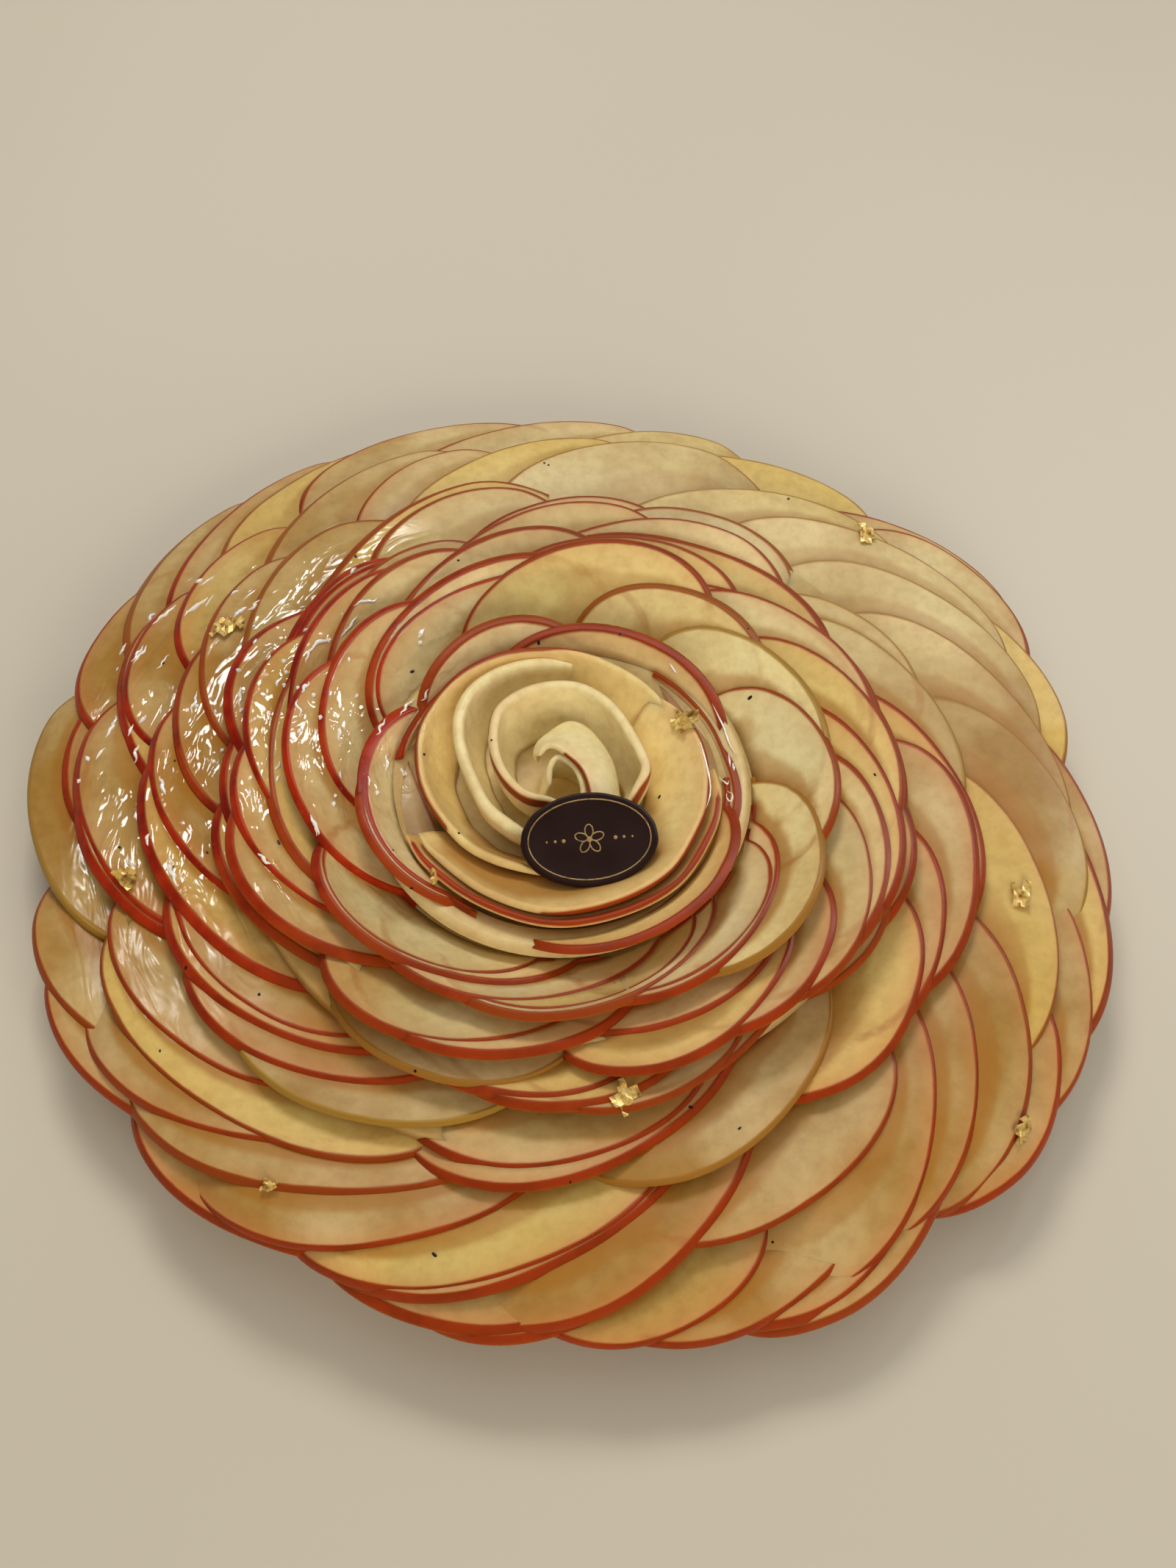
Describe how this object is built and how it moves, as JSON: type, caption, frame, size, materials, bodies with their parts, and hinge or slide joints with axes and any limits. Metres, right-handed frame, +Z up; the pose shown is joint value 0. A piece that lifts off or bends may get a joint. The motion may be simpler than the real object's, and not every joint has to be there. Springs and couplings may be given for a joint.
{
  "type": "apple tart",
  "caption": "Round tart topped with thin overlapping apple slices laid as an open rose, with a curled bud and an oval plaque.",
  "frame": {"origin": "centre of the crust's flat underside, on the axis of the rose", "axes": "+Z up out of the rose, -Y towards the side where the plaque faces"},
  "size_m": [0.2057, 0.2037, 0.0461],
  "materials": {
    "crust": "baked shortcrust, golden brown, matt and slightly sandy",
    "apple": "glazed apple flesh, cream to honey yellow, with thin red peel on the outer edge and a few leaves of gold",
    "bud": "glazed apple flesh, pale honey yellow, with thin red and orange peel edges",
    "plaque": "dark chocolate, smooth with a soft sheen, with a small plain gold ornament"
  },
  "bodies": {
    "root": {"crust": "crust", "slice_ring_1": "apple", "slice_ring_2": "apple", "slice_ring_3": "apple", "slice_ring_4": "apple", "slice_ring_5": "apple", "slice_ring_6": "apple", "slice_ring_7": "apple", "slice_ring_8": "apple", "bud_slice_1": "bud", "bud_slice_2": "bud", "bud_slice_3": "bud", "bud_slice_4": "bud", "plaque": "plaque"}
  },
  "joints": []
}
